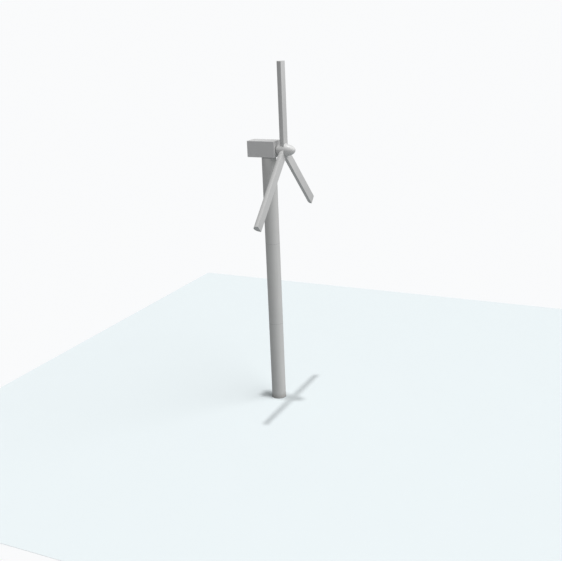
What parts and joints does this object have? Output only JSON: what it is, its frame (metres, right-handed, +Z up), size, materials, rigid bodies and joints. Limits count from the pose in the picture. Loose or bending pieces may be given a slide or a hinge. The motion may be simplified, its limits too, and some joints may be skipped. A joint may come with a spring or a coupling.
{
  "type": "horizontal axis wind turbine",
  "caption": "Full-size three-blade horizontal-axis wind turbine: tubular steel tower, box nacelle that yaws, egg-shaped spinner and half-oval blades that turn and pitch.",
  "frame": {"origin": "centre of the tower's base flange, on its lower face", "axes": "+Z up along the tower, +X along the rotor axis towards the nose of the spinner at rest"},
  "size_m": [11.081, 30.0945, 79.15],
  "materials": {
    "tower_paint": "satin",
    "shell_gelcoat": "satin",
    "blade_gelcoat": "satin",
    "bolt_steel": "galvanised",
    "cast_paint": "satin",
    "frame_paint": "satin",
    "machined_steel": "machined",
    "galvanised": "galvanised",
    "aluminium": "mill finish",
    "gearbox_paint": "gloss",
    "motor_paint": "gloss",
    "caliper_paint": "gloss",
    "cabinet_paint": "powder coat",
    "core_iron": "varnished",
    "spar_laminate": "laminate"
  },
  "bodies": {
    "tower": {"tower_lower_section": "tower_paint", "tower_middle_section": "tower_paint", "tower_upper_section": "tower_paint", "flange_bolts": "bolt_steel", "door_frame": "tower_paint", "door_hinge_pins": "bolt_steel", "tower_platforms": "galvanised", "ladder": "aluminium", "yaw_ring_gear": "machined_steel"},
    "door": {"tower_door": "tower_paint"},
    "handle": {"door_handle": "galvanised"},
    "nacelle": {"yaw_slide_ring": "frame_paint", "yaw_drives": "motor_paint", "bedplate": "frame_paint", "nacelle_floor": "shell_gelcoat", "nacelle_left_side": "shell_gelcoat", "nacelle_right_side": "shell_gelcoat", "nacelle_roof": "shell_gelcoat", "nacelle_front_panel": "shell_gelcoat", "nacelle_rear_panel": "shell_gelcoat", "control_cabinet": "cabinet_paint", "main_bearing_housing": "cast_paint", "gearbox_housing": "gearbox_paint", "gearbox_cover": "gearbox_paint", "brake_caliper": "caliper_paint", "generator_housing": "motor_paint", "generator_stator": "core_iron"},
    "hatch": {"rear_hatch": "shell_gelcoat"},
    "yaw_pinion_l": {"yaw_pinion_left": "machined_steel"},
    "yaw_pinion_r": {"yaw_pinion_right": "machined_steel"},
    "rotor": {"main_shaft": "machined_steel", "low_speed_gear": "machined_steel", "hub_casting": "cast_paint", "hub_bolts": "bolt_steel", "spinner_shell": "blade_gelcoat", "pitch_outer_rings": "machined_steel", "pitch_drives": "motor_paint"},
    "intermediate": {"intermediate_shaft": "machined_steel"},
    "high_speed_train": {"high_speed_shaft": "machined_steel", "brake_disc": "machined_steel", "generator_rotor": "core_iron"},
    "pinion_1": {"pitch_pinion_1": "machined_steel"},
    "blade_1": {"blade_1_pitch_ring": "machined_steel", "blade_1_root": "spar_laminate", "blade_1_flat_shell": "blade_gelcoat", "blade_1_round_shell": "blade_gelcoat", "blade_1_spar": "spar_laminate"},
    "pinion_2": {"pitch_pinion_2": "machined_steel"},
    "blade_2": {"blade_2_pitch_ring": "machined_steel", "blade_2_root": "spar_laminate", "blade_2_flat_shell": "blade_gelcoat", "blade_2_round_shell": "blade_gelcoat", "blade_2_spar": "spar_laminate"},
    "pinion_3": {"pitch_pinion_3": "machined_steel"},
    "blade_3": {"blade_3_pitch_ring": "machined_steel", "blade_3_root": "spar_laminate", "blade_3_flat_shell": "blade_gelcoat", "blade_3_round_shell": "blade_gelcoat", "blade_3_spar": "spar_laminate"}
  },
  "joints": [
    {"name": "nacelle_yaw", "type": "hinge", "parent": "tower", "child": "nacelle", "pos_m": [0, 0, 58.3], "axis": [0, 0, 1], "continuous": true},
    {"name": "rotor_spin", "type": "hinge", "parent": "nacelle", "child": "rotor", "pos_m": [0, 0, 60], "axis": [1, 0, 0], "continuous": true},
    {"name": "intermediate_spin", "type": "hinge", "parent": "nacelle", "child": "intermediate", "pos_m": [0, 0.756, 60], "axis": [1, 0, 0], "continuous": true},
    {"name": "high_speed_spin", "type": "hinge", "parent": "nacelle", "child": "high_speed_train", "pos_m": [0, 0.532, 60.38798], "axis": [1, 0, 0], "continuous": true},
    {"name": "yaw_pinion_l_spin", "type": "hinge", "parent": "nacelle", "child": "yaw_pinion_l", "pos_m": [0.6151, -1.09966, 58.3], "axis": [0, 0, 1], "continuous": true},
    {"name": "yaw_pinion_r_spin", "type": "hinge", "parent": "nacelle", "child": "yaw_pinion_r", "pos_m": [0.6151, 1.09966, 58.3], "axis": [0, 0, 1], "continuous": true},
    {"name": "blade_pitch_1", "type": "hinge", "parent": "rotor", "child": "blade_1", "pos_m": [3.5, 0, 60], "axis": [0, 0, 1], "range_deg": [0, 90]},
    {"name": "pitch_pinion_1_spin", "type": "hinge", "parent": "rotor", "child": "pinion_1", "pos_m": [3.74, 0, 60], "axis": [0, 0, 1], "range_deg": [0, 540]},
    {"name": "blade_pitch_2", "type": "hinge", "parent": "rotor", "child": "blade_2", "pos_m": [3.5, 0, 60], "axis": [0, -0.7071, -0.7071], "range_deg": [0, 90]},
    {"name": "pitch_pinion_2_spin", "type": "hinge", "parent": "rotor", "child": "pinion_2", "pos_m": [3.74, 0, 60], "axis": [0, -0.7071, -0.7071], "range_deg": [0, 540]},
    {"name": "blade_pitch_3", "type": "hinge", "parent": "rotor", "child": "blade_3", "pos_m": [3.5, 0, 60], "axis": [0, 0.7071, -0.7071], "range_deg": [0, 90]},
    {"name": "pitch_pinion_3_spin", "type": "hinge", "parent": "rotor", "child": "pinion_3", "pos_m": [3.74, 0, 60], "axis": [0, 0.7071, -0.7071], "range_deg": [0, 540]},
    {"name": "door_hinge", "type": "hinge", "parent": "tower", "child": "door", "pos_m": [0.469, 1.73, 1.75], "axis": [0, 0, -1], "range_deg": [0, 110]},
    {"name": "door_handle_turn", "type": "hinge", "parent": "door", "child": "handle", "pos_m": [-0.29, 1.73, 1.75], "axis": [0, -1, 0], "range_deg": [0, 90]},
    {"name": "rear_hatch_hinge", "type": "hinge", "parent": "nacelle", "child": "hatch", "pos_m": [-4.551, 0.53, 59.92], "axis": [0, 0, -1], "range_deg": [0, 110]}
  ],
  "couplings": [
    {"joint": "intermediate_spin", "follows": "rotor_spin", "ratio": -5},
    {"joint": "high_speed_spin", "follows": "rotor_spin", "ratio": 30},
    {"joint": "yaw_pinion_l_spin", "follows": "nacelle_yaw", "ratio": -11},
    {"joint": "yaw_pinion_r_spin", "follows": "nacelle_yaw", "ratio": -11},
    {"joint": "pitch_pinion_1_spin", "follows": "blade_pitch_1", "ratio": 6},
    {"joint": "pitch_pinion_2_spin", "follows": "blade_pitch_2", "ratio": 6},
    {"joint": "pitch_pinion_3_spin", "follows": "blade_pitch_3", "ratio": 6}
  ]
}
